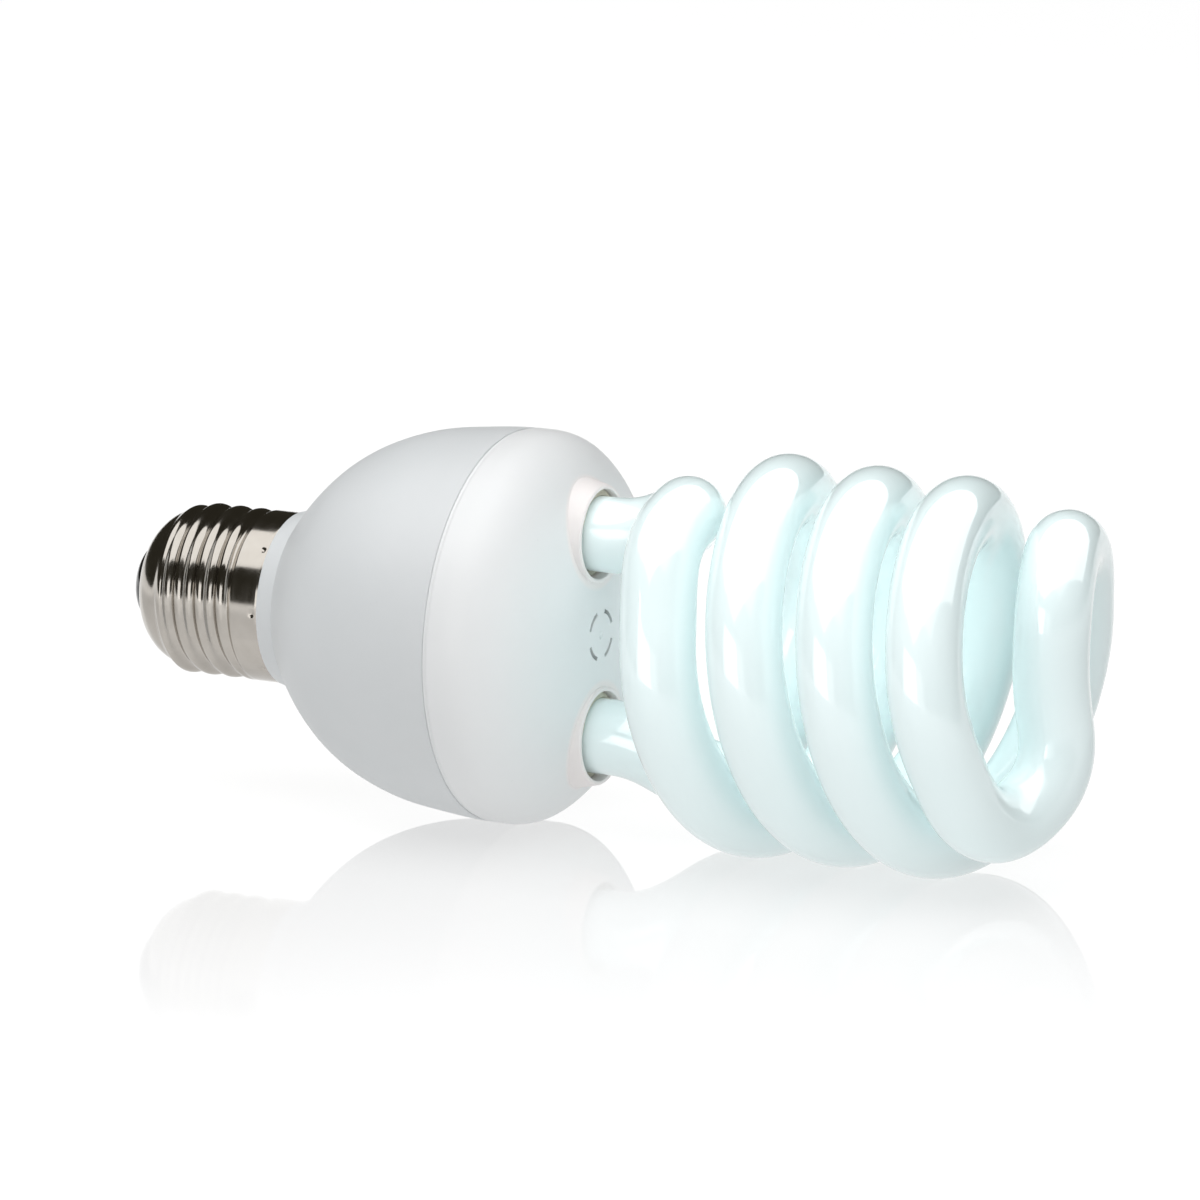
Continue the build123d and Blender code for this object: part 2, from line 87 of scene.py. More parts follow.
def noise(nt, vector, scale, detail=3.0, rough=0.55, distortion=0.0):
    n = node(nt, "ShaderNodeTexNoise", Scale=scale, Detail=detail, Roughness=rough, Distortion=distortion)
    nt.links.new(vector, n.inputs["Vector"])
    return n.outputs["Fac"]


def ramp(nt, fac, stops, interpolation="LINEAR"):
    r = nt.nodes.new("ShaderNodeValToRGB")
    r.color_ramp.interpolation = interpolation
    while len(r.color_ramp.elements) < len(stops):
        r.color_ramp.elements.new(0.5)
    for e, (pos, col) in zip(r.color_ramp.elements, stops):
        e.position = pos
        e.color = (*col, 1.0) if len(col) == 3 else col
    nt.links.new(fac, r.inputs["Fac"])
    return r.outputs["Color"]


def maprange(nt, value, a, b, c, d, smooth=False):
    n = nt.nodes.new("ShaderNodeMapRange")
    if smooth:
        n.interpolation_type = "SMOOTHSTEP"
    n.inputs["From Min"].default_value = a
    n.inputs["From Max"].default_value = b
    n.inputs["To Min"].default_value = c
    n.inputs["To Max"].default_value = d
    nt.links.new(value, n.inputs["Value"])
    return n.outputs["Result"]


def mix(nt, fac, a, b, kind="MIX"):
    n = nt.nodes.new("ShaderNodeMix")
    n.data_type = "RGBA"
    n.blend_type = kind
    ins = {"Factor": n.inputs[0], "A": n.inputs[6], "B": n.inputs[7]}
    for key, v in (("Factor", fac), ("A", a), ("B", b)):
        if hasattr(v, "links"):
            nt.links.new(v, ins[key])
        elif key == "Factor":
            ins[key].default_value = v
        else:
            ins[key].default_value = (*v, 1.0)
    return n.outputs[2]


def math_node(nt, op, a, b=None, c=None, clamp=False):
    n = nt.nodes.new("ShaderNodeMath")
    n.operation = op
    n.use_clamp = clamp
    for i, v in enumerate((a, b, c)):
        if v is None:
            continue
        if hasattr(v, "links"):
            nt.links.new(v, n.inputs[i])
        else:
            n.inputs[i].default_value = v
    return n.outputs[0]


def bump(nt, p, height, distance, strength=1.0, under=None):
    b = nt.nodes.new("ShaderNodeBump")
    b.inputs["Strength"].default_value = strength
    b.inputs["Distance"].default_value = distance
    nt.links.new(height, b.inputs["Height"])
    if under is not None:
        nt.links.new(under, b.inputs["Normal"])
    nt.links.new(b.outputs["Normal"], p.inputs["Normal"])
    return b.outputs["Normal"]


def station(nt):
    """The station in millimetres, and the sideways and upward offsets from the axis in metres, as sockets."""
    sep = nt.nodes.new("ShaderNodeSeparateXYZ")
    nt.links.new(coords(nt), sep.inputs[0])
    s = math_node(nt, "MULTIPLY_ADD", sep.outputs["X"], 1000.0, S_MID)
    z = math_node(nt, "SUBTRACT", sep.outputs["Z"], AXIS_Z / 1000.0)
    return s, sep.outputs["Y"], z


def moulded(name, low, high, roughness=0.42, grain=0.000008, specks=0.06, coat=0.0, sss=0.0, tint=None):
    """Moulded plastic: slow colour drift, fine grain, faint specks and a soft uneven gloss."""
    m, nt, p = material(name)
    v = coords(nt)
    drift = noise(nt, v, 38.0, 4.0, 0.6)
    colour = ramp(nt, drift, [(0.3, low), (0.7, high)])
    if tint:
        colour = tint(nt, colour)
    dots = noise(nt, v, 760.0, 1.0, 0.4)
    spot = maprange(nt, dots, 0.80, 0.84, 0.0, specks)
    colour = mix(nt, spot, colour, (0.28, 0.27, 0.25))
    nt.links.new(colour, p.inputs["Base Color"])
    gloss = noise(nt, v, 130.0, 3.0, 0.6)
    nt.links.new(maprange(nt, gloss, 0.3, 0.7, roughness - 0.04, roughness + 0.05), p.inputs["Roughness"])
    fine = noise(nt, v, 3200.0, 2.0, 0.6)
    slow = noise(nt, v, 55.0, 2.0, 0.5)
    height = math_node(nt, "ADD", fine, math_node(nt, "MULTIPLY", slow, 2.2))
    bump(nt, p, height, grain)
    p.inputs["IOR"].default_value = 1.49
    p.inputs["Coat Weight"].default_value = coat
    if sss:
        p.inputs["Subsurface Weight"].default_value = sss
        p.inputs["Subsurface Radius"].default_value = (1.0, 0.85, 0.75)
        p.inputs["Subsurface Scale"].default_value = 0.0025
    return m


def metal(name, low, high, roughness, scale=220.0, scratch=0.00001, stretch=(1, 1, 1)):
    """Plated or drawn metal: slight tarnish clouds and fine lines along the working direction."""
    m, nt, p = material(name)
    v = coords(nt)
    p.inputs["Metallic"].default_value = 1.0
    cloud = noise(nt, v, scale, 4.0, 0.6)
    nt.links.new(ramp(nt, cloud, [(0.3, low), (0.7, high)]), p.inputs["Base Color"])
    mp = nt.nodes.new("ShaderNodeMapping")
    mp.inputs["Scale"].default_value = stretch
    nt.links.new(v, mp.inputs["Vector"])
    lines = noise(nt, mp.outputs["Vector"], 900.0, 3.0, 0.6)
    nt.links.new(
        maprange(nt, math_node(nt, "ADD", cloud, lines), 0.7, 1.3, roughness * 0.7, roughness * 1.4),
        p.inputs["Roughness"],
    )
    bump(nt, p, lines, scratch)
    return m


def simple(name, low, high, roughness, scale=500.0, height=0.00002, metallic=0.0, coat=0.0):
    """A patterned finish for the parts that the housing hides."""
    m, nt, p = material(name)
    v = coords(nt)
    f = noise(nt, v, scale, 4.0, 0.6)
    nt.links.new(ramp(nt, f, [(0.3, low), (0.7, high)]), p.inputs["Base Color"])
    nt.links.new(maprange(nt, f, 0.3, 0.7, roughness * 0.85, roughness * 1.15), p.inputs["Roughness"])
    p.inputs["Metallic"].default_value = metallic
    p.inputs["Coat Weight"].default_value = coat
    bump(nt, p, noise(nt, v, scale * 3.0, 2.0), height)
    return m


def socket_tint(nt, colour):
    """The raised sockets are a little warmer and whiter than the dome around them."""
    s, y, z = station(nt)
    zz = math_node(nt, "SUBTRACT", math_node(nt, "ABSOLUTE", z), 0.01582)
    d = math_node(nt, "SQRT", math_node(nt, "ADD", math_node(nt, "POWER", y, 2.0), math_node(nt, "POWER", zz, 2.0)))
    inside = maprange(nt, d, 0.0081, 0.0090, 1.0, 0.0, True)
    front = maprange(nt, s, 44.0, 46.0, 0.0, 1.0)
    return mix(nt, math_node(nt, "MULTIPLY", inside, front), colour, (0.84, 0.80, 0.79))


M = {}
M["housing_plastic"] = moulded("housing_white_plastic", (0.665, 0.69, 0.70), (0.695, 0.715, 0.725), 0.42)
M["cover_plastic"] = moulded("cover_white_plastic", (0.775, 0.787, 0.792), (0.80, 0.811, 0.815), 0.40, tint=socket_tint)
M["nickel_shell"] = metal("nickel_plate", (0.475, 0.445, 0.405), (0.52, 0.49, 0.45), 0.13, 260.0, 0.000003, (1.0, 0.06, 0.06))
M["cap_glass"] = moulded("black_cap_glass", (0.004, 0.0045, 0.006), (0.009, 0.0095, 0.012), 0.12, 0.00001, 0.0, 1.0)
M["contact_brass"] = metal("contact_brass", (0.62, 0.50, 0.28), (0.72, 0.60, 0.36), 0.25, 400.0, 0.00001)
M["solder"] = metal("solder_bead", (0.45, 0.45, 0.45), (0.60, 0.60, 0.59), 0.3, 700.0, 0.00003)
M["cement"] = simple("tube_cement_grey", (0.58, 0.55, 0.44), (0.72, 0.69, 0.58), 0.8, 900.0, 0.0001)
M["board"] = simple("board_laminate", (0.38, 0.26, 0.12), (0.46, 0.33, 0.17), 0.5, 300.0)
M["capacitor_sleeve"] = simple("capacitor_sleeve_black", (0.02, 0.02, 0.025), (0.04, 0.04, 0.05), 0.35)
M["ferrite"] = simple("ferrite_grey", (0.03, 0.03, 0.032), (0.07, 0.07, 0.072), 0.7)
M["bobbin_plastic"] = simple("bobbin_dark_plastic", (0.05, 0.05, 0.05), (0.08, 0.08, 0.078), 0.5)
M["copper_wire"] = simple("enamelled_copper", (0.50, 0.20, 0.08), (0.68, 0.30, 0.14), 0.3, 1500.0, 0.0001, 1.0)
M["insulated_wire"] = simple("wire_sleeve", (0.60, 0.58, 0.52), (0.72, 0.70, 0.64), 0.45)
M["component_black"] = simple("component_epoxy", (0.02, 0.02, 0.02), (0.04, 0.04, 0.04), 0.5)
M["film_dip"] = simple("dipped_resin", (0.28, 0.08, 0.03), (0.38, 0.12, 0.05), 0.25, coat=0.5)
M["resistor_body"] = simple("resistor_lacquer", (0.56, 0.44, 0.26), (0.66, 0.54, 0.34), 0.4)
M["diode_glass"] = simple("diode_body", (0.08, 0.16, 0.30), (0.12, 0.22, 0.38), 0.15, coat=1.0)
M["ceramic_body"] = simple("fuse_ceramic", (0.28, 0.40, 0.34), (0.36, 0.48, 0.42), 0.45)
M["tinned_wire"] = simple("tinned_wire", (0.50, 0.50, 0.50), (0.65, 0.65, 0.64), 0.3, metallic=1.0)


def coated_tube():
    """A clear glass wall over a white inner coating: pale mint, faint streaks along the tube, mirror-smooth outside."""
    m, nt, p = material("coated_glass_tube")
    v = coords(nt)
    drift = noise(nt, v, 26.0, 3.0, 0.5)
    colour = ramp(nt, drift, [(0.25, (0.825, 0.935, 0.945)), (0.75, (0.86, 0.955, 0.965))])
    p.inputs["Roughness"].default_value = 0.5
    nt.links.new(colour, p.inputs["Base Color"])
    p.inputs["Coat Weight"].default_value = 1.0
    p.inputs["Coat Roughness"].default_value = 0.015
    p.inputs["Coat IOR"].default_value = 1.6
    p.inputs["Coat Tint"].default_value = (0.97, 0.99, 0.985, 1.0)
    p.inputs["Specular IOR Level"].default_value = 0.2
    wav = noise(nt, v, 160.0, 2.0, 0.5)
    b = nt.nodes.new("ShaderNodeBump")
    b.inputs["Strength"].default_value = 1.0
    b.inputs["Distance"].default_value = 0.00002
    nt.links.new(wav, b.inputs["Height"])
    nt.links.new(b.outputs["Normal"], p.inputs["Coat Normal"])
    return m


M["coated_tube"] = coated_tube()

for entry in frame["record"]["subparts"]:
    o = nodes[entry["node"]]
    o.data.materials.clear()
    o.data.materials.append(M[entry["material_slot"]])


# -------------------------------------------------------------------- meshes
def new_object(name, verts, faces, mat=None, smooth=True, sharp=None):
    """verts in (station, y, z) millimetres."""
    me = bpy.data.meshes.new(name)
    me.from_pydata(W(verts).tolist(), [], [list(map(int, f)) for f in faces])
    me.update()
    o = bpy.data.objects.new(name, me)
    bpy.context.scene.collection.objects.link(o)
    if mat:
        me.materials.append(mat)
    finish_mesh(o, smooth, sharp)
    return o


def finish_mesh(o, smooth=True, sharp=None):
    me = o.data
    bm = bmesh.new()
    bm.from_mesh(me)
    bmesh.ops.remove_doubles(bm, verts=bm.verts, dist=2e-7)
    bmesh.ops.recalc_face_normals(bm, faces=bm.faces)
    bm.to_mesh(me)
    bm.free()
    me.polygons.foreach_set("use_smooth", [smooth] * len(me.polygons))
    if smooth and sharp is not None:
        me.set_sharp_from_angle(angle=math.radians(sharp))
    me.update()


def curve2(points, t0, t1, count):
    """A smooth curve through 2-D points with the given end directions, evenly sampled."""
    p = np.asarray(points, float)
    d = np.r_[0, np.cumsum(np.linalg.norm(np.diff(p, axis=0), axis=1))]
    t0 = np.asarray(t0, float) / np.linalg.norm(t0)
    t1 = np.asarray(t1, float) / np.linalg.norm(t1)
    n = len(p)
    h = np.diff(d)
    A = np.zeros((n, n))
    B = np.zeros((n, 2))
    A[0, 0] = A[-1, -1] = 1
    B[0], B[-1] = t0, t1
    for i in range(1, n - 1):
        A[i, i - 1], A[i, i], A[i, i + 1] = h[i], 2 * (h[i - 1] + h[i]), h[i - 1]
        B[i] = 3 * (h[i] / h[i - 1] * (p[i] - p[i - 1]) + h[i - 1] / h[i] * (p[i + 1] - p[i]))
    m = np.linalg.solve(A, B)
    x = np.linspace(0, d[-1], count)
    k = np.clip(np.searchsorted(d, x, side="right") - 1, 0, n - 2)
    u = ((x - d[k]) / h[k])[:, None]
    hk = h[k][:, None]
    return (
        (2 * u**3 - 3 * u**2 + 1) * p[k] + (u**3 - 2 * u**2 + u) * hk * m[k]
        + (-2 * u**3 + 3 * u**2) * p[k + 1] + (u**3 - u**2) * hk * m[k + 1]
    )


def soften(points, radii, steps=5):
    """Rounds the corners of a closed 2-D polyline. radii has one value per corner; 0 keeps it sharp."""
    p = np.asarray(points, float)
    out = []
    n = len(p)
    for i in range(n):
        r = radii[i]
        a, b, c = p[i - 1], p[i], p[(i + 1) % n]
        if r <= 0:
            out.append(b)
            continue
        u, v = a - b, c - b
        lu, lv = np.linalg.norm(u), np.linalg.norm(v)
        u, v = u / lu, v / lv
        cosang = np.clip(u @ v, -1, 1)
        half = math.acos(cosang) / 2
        reach = min(r / math.tan(half), lu * 0.48, lv * 0.48)
        r = reach * math.tan(half)
        q = (u + v) / np.linalg.norm(u + v)
        o = b + q * (r / math.sin(half))
        s, e = b + u * reach, b + v * reach
        a0 = math.atan2(*(s - o)[::-1])
        a1 = math.atan2(*(e - o)[::-1])
        d = (a1 - a0 + math.pi) % (2 * math.pi) - math.pi
        for k in range(steps + 1):
            ang = a0 + d * k / steps
            out.append(o + r * np.array([math.cos(ang), math.sin(ang)]))
    return np.array(out)


def lathe(name, profile, segments, mat, sharp=35, centre=(0.0, 0.0), closed=True):
    """Turns (station, radius) points about a line parallel to the axis."""
    p = np.asarray(profile, float)
    t = np.linspace(0, 2 * np.pi, segments, endpoint=False)
    n = len(p)
    verts = np.empty((n, segments, 3))
    verts[:, :, 0] = p[:, 0][:, None]
    verts[:, :, 1] = centre[0] - p[:, 1][:, None] * np.sin(t)
    verts[:, :, 2] = centre[1] + p[:, 1][:, None] * np.cos(t)
    faces = []
    last = n if closed else n - 1
    for i in range(last):
        j = (i + 1) % n
        if p[i, 1] < 1e-9 and p[j, 1] < 1e-9:
            continue
        for k in range(segments):
            l = (k + 1) % segments
            a, b, c, d = i * segments + k, i * segments + l, j * segments + l, j * segments + k
            if p[i, 1] < 1e-9:
                faces.append((a, c, d))
            elif p[j, 1] < 1e-9:
                faces.append((a, b, d))
            else:
                faces.append((a, b, c, d))
    return new_object(name, verts.reshape(-1, 3), faces, mat, True, sharp)


def boolean(target, cutter, operation, solver="EXACT"):
    mod = target.modifiers.new("cut", "BOOLEAN")
    mod.operation = operation
    mod.solver = solver
    mod.object = cutter
    apply_modifiers(target)
    bpy.data.objects.remove(cutter)


def apply_modifiers(o):
    bpy.context.view_layer.update()
    dg = bpy.context.evaluated_depsgraph_get()
    me = bpy.data.meshes.new_from_object(o.evaluated_get(dg))
    o.modifiers.clear()
    old = o.data
    o.data = me
    bpy.data.meshes.remove(old)


def rides(o, *replaced, slot=None):
    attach(o, "root")
    if replaced:
        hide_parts(*replaced)


# ---------------------------------------------------------------- screw shell
THREAD_R, ROOT_R, PITCH, PHASE = 13.2, 12.15, 3.629, -14.63


def thread_shape(x):
    """Height from 0 (root) to 1 (crest) of a rolled thread at phase x, made of equal arcs."""
    x = np.abs((x + 0.5) % 1.0 - 0.5)
    q = 0.25
    sin_f = 0.872
    rad = 0.25 / sin_f
    depth = 2 * rad * (1 - math.sqrt(1 - sin_f**2))
    crest = depth - (rad - np.sqrt(np.maximum(rad**2 - x**2, 0)))
    root = rad - np.sqrt(np.maximum(rad**2 - (0.5 - x) ** 2, 0))
    return np.where(x < q, crest, root) / depth


def smoothstep(x, a, b):
    t = np.clip((x - a) / (b - a), 0, 1)
    return t * t * (3 - 2 * t)


end_curve = curve2(
    [(-23.6, 6.6), (-22.9, 8.6), (-21.3, 10.5), (-19.3, 11.75), (-17.0, ROOT_R)],
    (0.25, 1), (1, 0), 34,
)
s_rows = np.r_[np.linspace(-17.0, -4.5, 118)[1:], np.linspace(-4.5, 0.0, 26)[1:]]
outer = np.vstack([end_curve, np.c_[s_rows, np.full(len(s_rows), ROOT_R)]])
SEG = 320
theta = np.linspace(0, 2 * np.pi, SEG, endpoint=False)
ss = np.repeat(outer[:, 0][:, None], SEG, 1)
rr = np.repeat(outer[:, 1][:, None], SEG, 1)
th = np.repeat(theta[None, :], len(outer), 0)
phase = (ss - PHASE) / PITCH - th / (2 * np.pi)
amp = smoothstep(ss, -19.4, -16.6)
rr = rr + (THREAD_R - ROOT_R) * thread_shape(phase) * amp
skirt = smoothstep(ss, -5.9, -4.5)
rr = rr * (1 - skirt) + THREAD_R * skirt
rr = np.minimum(rr, THREAD_R)
rr -= 0.10 * smoothstep(ss, -0.16, 0.0) ** 2
for i in range(8):
    a0 = math.radians(-1.0 + 45 * i)
    d = (th - a0 + np.pi) % (2 * np.pi) - np.pi
    dist = np.sqrt((d * THREAD_R) ** 2 + (ss + 0.88) ** 2)
    rr -= 0.34 * np.exp(-((dist / 0.36) ** 2))
rr = np.minimum(rr, THREAD_R)
rows_out = np.stack([ss, -rr * np.sin(th), rr * np.cos(th)], -1)
inner = [(0.0, 12.72), (-4.2, 12.7), (-5.6, 11.75), (-17.0, 11.75), (-19.1, 11.35), (-20.9, 10.2), (-22.4, 8.5), (-23.25, 6.6)]
rows_in = np.array([[(s, -r * math.sin(t), r * math.cos(t)) for t in theta] for s, r in inner])
rows = np.concatenate([rows_out, rows_in], 0)
faces = []
R = len(rows)
for i in range(R):
    j = (i + 1) % R
    for k in range(SEG):
        l = (k + 1) % SEG
        faces.append((i * SEG + k, i * SEG + l, j * SEG + l, j * SEG + k))
shell = new_object("screw_cap_shell", rows.reshape(-1, 3), faces, M["nickel_shell"], True, 50)
rides(shell, "screw_shell", slot="nickel_shell")

# --------------------------------------------------------- insulator, contact
ins_out = curve2([(-23.85, 6.55), (-24.9, 5.85), (-25.72, 4.25)], (-0.75, -0.25), (-0.15, -1), 22)
profile = np.vstack([
    [(-22.4, 7.9), (-23.2, 6.58)], ins_out,
    soften([(-25.8, 4.0), (-25.8, 3.62)], [0, 0]),
    [(-25.0, 3.6), (-25.0, 1.2), (-21.6, 1.2), (-21.6, 7.2)],
])
insulator = lathe("cap_insulator_glass", profile, 160, M["cap_glass"], 40)
rides(insulator, "cap_insulator", slot="cap_glass")
con = curve2([(-25.8, 3.58), (-26.1, 2.7), (-26.2, 0.95)], (-0.6, -0.5), (0, -1), 14)
contact = lathe("centre_contact_disc", np.vstack([[(-25.05, 0.95), (-25.05, 3.58)], con]), 128, M["contact_brass"], 40)
rides(contact, "centre_contact", slot="contact_brass")
bead = curve2([(-26.2, 1.6), (-26.6, 1.0), (-26.74, 0.0)], (-0.8, -0.3), (0, -1), 10)
bead[-1, 1] = 0.0
solder = lathe(
    "contact_solder_bead",
    np.vstack([[(-25.3, 0.0), (-25.3, 0.88), (-26.17, 0.88)], bead]), 96, M["solder"], 50, closed=False,
)
rides(solder, "contact_solder", slot="solder")

# -------------------------------------------------------------------- housing
bowl = curve2(
    [(3.2, 14.35), (5.0, 16.7), (8.0, 20.0), (12.0, 23.4), (16.0, 25.8), (20.0, 27.5),
     (25.0, 28.9), (30.0, 29.6), (37.25, 30.25)],
    (0.6, 0.8), (1, 0.03), 96,
)
inside = curve2(
    [(24.0, 26.4), (20.0, 25.5), (16.0, 23.8), (12.0, 21.4), (8.0, 18.0), (5.0, 14.6), (2.6, 10.4)],
    (-1, -0.12), (-0.5, -1), 40,
)
collar = soften(
    [(-4.1, 12.5), (0.06, 12.52), (0.06, 13.45), (3.08, 14.2), (3.2, 14.35)],
    [0, 0, 0.22, 0, 0], 5,
)
rim = [(37.42, 30.24), (37.5, 30.215), (37.56, 30.17), (37.59, 30.1), (37.6, 29.95)]
lip = soften(
    [(37.6, 28.2), (36.0, 28.2), (35.7, 28.6), (34.5, 28.6), (34.2, 28.2), (31.0, 28.0),
     (26.0, 27.05), (26.0, 24.6), (24.6, 24.6)], [0] * 9,
)
profile = np.vstack([
    [(-9.0, 10.4), (-9.0, 11.7), (-4.3, 11.7)], collar, bowl[1:], rim, lip, inside, [(2.5, 10.4)],
])
housing = lathe("ballast_housing_bowl", profile, 256, M["housing_plastic"], 32)
rides(housing, "lower_housing", slot="housing_plastic")

# ---------------------------------------------------------------- tube cover
dome = curve2(
    [(52.6, 0), (52.4, 9.0), (51.8, 15.5), (50.5, 21.2), (48.5, 25.4), (46.0, 28.2),
     (43.6, 29.75), (41.0, 30.3)],
    (0, 1), (-1, 0.06), 84,
)
dome[0, 1] = 0.0
back = curve2(
    [(41.0, 28.4), (43.2, 27.8), (45.2, 26.4), (47.3, 23.8), (49.0, 20.0), (50.1, 15.0),
     (50.6, 9.0), (50.8, 0)],
    (1, -0.1), (0, -1), 40,
)
back[-1, 1] = 0.0
profile = np.vstack([
    dome, [(40.0, 30.3), (39.2, 30.3), (38.55, 30.3), (38.36, 30.26), (38.23, 30.2), (38.14, 30.12), (38.1, 30.06)],
    [(38.1, 30.02), (37.62, 30.02), (37.62, 27.95), (35.5, 27.95), (35.3, 28.35), (34.8, 28.35), (34.4, 27.75),
     (31.5, 27.75), (30.5, 27.35), (27.65, 27.0), (27.65, 25.9), (33.0, 26.4), (38.0, 27.9)],
    back,
])
cover = lathe("tube_cover_dome", profile, 256, M["cover_plastic"], 32, closed=False)

LEG_R = 15.82
for sign in (1, -1):
    bore = lathe("bore", [(40.0, 0.0), (40.0, 7.2), (56.0, 7.2), (56.0, 0.0)], 96, None, 30, (0.0, sign * LEG_R), False)
    boolean(cover, bore, "DIFFERENCE")
for sign in (1, -1):
    ring = np.vstack([
        soften(
            [(42.0, 6.9), (42.0, 8.0), (47.9, 8.0), (48.4, 8.58), (52.62, 7.6), (52.9, 7.42), (52.9, 6.9)],
            [0, 0, 0, 0, 0.35, 0.3, 0.18], 5,
        ),
    ])
    socket = lathe("socket", ring, 128, None, 30, (0.0, sign * LEG_R))
    boolean(cover, socket, "UNION")


def prism(points, s0, s1):
    """A closed prism across the axis from 2-D (y, z) points, between two stations."""
    n = len(points)
    v = [(s0, y, z) for y, z in points] + [(s1, y, z) for y, z in points]
    f = [tuple(range(n)), tuple(range(n, 2 * n))]
    f += [(i, (i + 1) % n, (i + 1) % n + n, i + n) for i in range(n)]
    return new_object("cutter", v, f, None, False)


for deg in (45, 135, 225, 315):
    arc = np.radians(np.linspace(deg - 26, deg + 26, 13))
    pts = [(4.02 * math.cos(a), 4.02 * math.sin(a)) for a in arc]
    pts += [(3.38 * math.cos(a), 3.38 * math.sin(a)) for a in arc[::-1]]
    boolean(cover, prism(pts, 49.6, 54.0), "DIFFERENCE")
dent = curve2([(53.35 - 1.0, 0.0), (52.75, 0.8), (53.6, 1.0)], (0, 1), (1, 0), 10)
dent[0, 1] = 0
boolean(cover, lathe("dimple", np.vstack([dent, [(54.0, 1.0), (54.0, 0.0)]]), 48, None, 30, closed=False), "DIFFERENCE")
cover.data.materials.clear()
cover.data.materials.append(M["cover_plastic"])
cover.data.polygons.foreach_set("material_index", [0] * len(cover.data.polygons))
finish_mesh(cover, True, 32)
rides(cover, "tube_cover", slot="cover_plastic")


# --------------------------------------------------------------------- cement
def cement_ring(sign):
    """Putty between a leg and its hole: lumpy on the outside, close to the rim."""
    count = 120
    t = np.linspace(0, 2 * np.pi, count, endpoint=False)
    rng = np.random.default_rng(5 + sign)
    wave = sum(rng.uniform(-1, 1) * np.cos(k * t + rng.uniform(0, 6.28)) / (1 + 0.4 * k) for k in range(1, 9))
    wave = 0.16 * wave / np.abs(wave).max()
    section = [(43.3, 5.85), (43.3, 6.84), (50.6, 6.84), (50.95, 6.6), (51.1, 6.3), (51.25, 6.0), (51.2, 5.85)]
    rise = 0.55 * (1 + np.clip(1.25 * np.cos(t - math.radians(115)), -1, 1))
    verts, faces = [], []
    for i, (s, r) in enumerate(section):
        for k, a in enumerate(t):
            z = wave[k] + rise[k] if i >= 2 else 0.0
            verts.append((s + z, r * math.cos(a), sign * LEG_R + r * math.sin(a)))
    n = len(section)
    for i in range(n):
        j = (i + 1) % n
        for k in range(count):
            l = (k + 1) % count
            faces.append((i * count + k, i * count + l, j * count + l, j * count + k))
    return verts, faces


cv, cf = cement_ring(1)
dv, df = cement_ring(-1)
cement = new_object("tube_cement_rings", cv + dv, cf + [tuple(i + len(cv) for i in f) for f in df], M["cement"], True, 40)
rides(cement, "tube_cement", slot="cement")

# ---------------------------------------------------------------- spiral tube
def arm(far_end):
    pts = [(44.0, 0.0, LEG_R), (59.6, 0.0, LEG_R), (67.5, -0.2, 19.65), (71.1, -6.6, 23.0), (71.95, -18.3, 20.1)]
    for deg in range(90, 631, 30):
        if deg < 360:
            r = 25.2 + (24.8 - 25.2) * (deg - 90) / 270
        else:
            r = 24.8 + (24.9 - 24.8) * (deg - 360) / 285
        r /= math.cos(math.radians(15))
        a = math.radians(deg)
        pts.append((67.8 + 30.0 * deg / 360, -r * math.sin(a), r * math.cos(a)))
    return pts + far_end


def centre_line():
    """The tube's centre line: runs and arcs as in the CAD source, sampled closely and eased where arcs meet."""
    a = arm([(123.5, 19.1, 17.1), (125.8, 9.5, 20.0), (129.1, -0.4, 14.2)])
    b = arm([(123.9, 19.0, 16.4), (125.8, 9.0, 20.2), (130.4, -0.6, 12.6)])
    c = [np.array(p) for p in a] + [np.array((128.2, 0.0, 0.3))]
    c += [np.array((s, -y, -z)) for s, y, z in reversed(b)]
    path, prev = [], c[0]
    for i in range(1, len(c) - 1):
        before, k, after = c[i - 1], c[i], c[i + 1]
        tb, ta = before - k, after - k
        reach = min(
            np.linalg.norm(tb) * (0.5 if i > 1 else 0.9),
            np.linalg.norm(ta) * (0.5 if i < len(c) - 2 else 0.9),
        )
        ub, ua = tb / np.linalg.norm(tb), ta / np.linalg.norm(ta)
        st, en = k + ub * reach, k + ua * reach
        gap = np.linalg.norm(st - prev)
        if gap > 0.02:
            path += [prev + (st - prev) * t for t in np.linspace(0, 1, max(2, int(gap / 0.2)), endpoint=False)]
        turn = math.pi - math.acos(np.clip(ub @ ua, -1, 1))
        rad = reach / math.tan(turn / 2)
        w = (ub + ua) / np.linalg.norm(ub + ua)
        o = k + w * (rad / math.cos(turn / 2))
        for t in np.linspace(0, 1, max(3, int(rad * turn / 0.2)), endpoint=False):
            path.append(o + ((st - o) * math.sin((1 - t) * turn) + (en - o) * math.sin(t * turn)) / math.sin(turn))
        prev = en
    path += [prev + (c[-1] - prev) * t for t in np.linspace(0, 1, 60)]
    p = np.array(path)
    d = np.r_[0, np.cumsum(np.linalg.norm(np.diff(p, axis=0), axis=1))]
    x = np.arange(0, d[-1], 0.25)
    p = np.stack([np.interp(x, d, p[:, i]) for i in range(3)], 1)
    sigma = 1.7 / 0.25
    half = int(4 * sigma)
    kernel = np.exp(-0.5 * (np.arange(-half, half + 1) / sigma) ** 2)
    kernel /= kernel.sum()
    head = p[0] - (p[1] - p[0]) * np.arange(half, 0, -1)[:, None]
    tail = p[-1] + (p[-1] - p[-2]) * np.arange(1, half + 1)[:, None]
    q = np.vstack([head, p, tail])
    return np.stack([np.convolve(q[:, i], kernel, "valid") for i in range(3)], 1)


def resample(p, step):
    d = np.r_[0, np.cumsum(np.linalg.norm(np.diff(p, axis=0), axis=1))]
    n = int(d[-1] / step)
    x = np.linspace(0, d[-1], n)
    return np.stack([np.interp(x, d, p[:, i]) for i in range(3)], 1), x


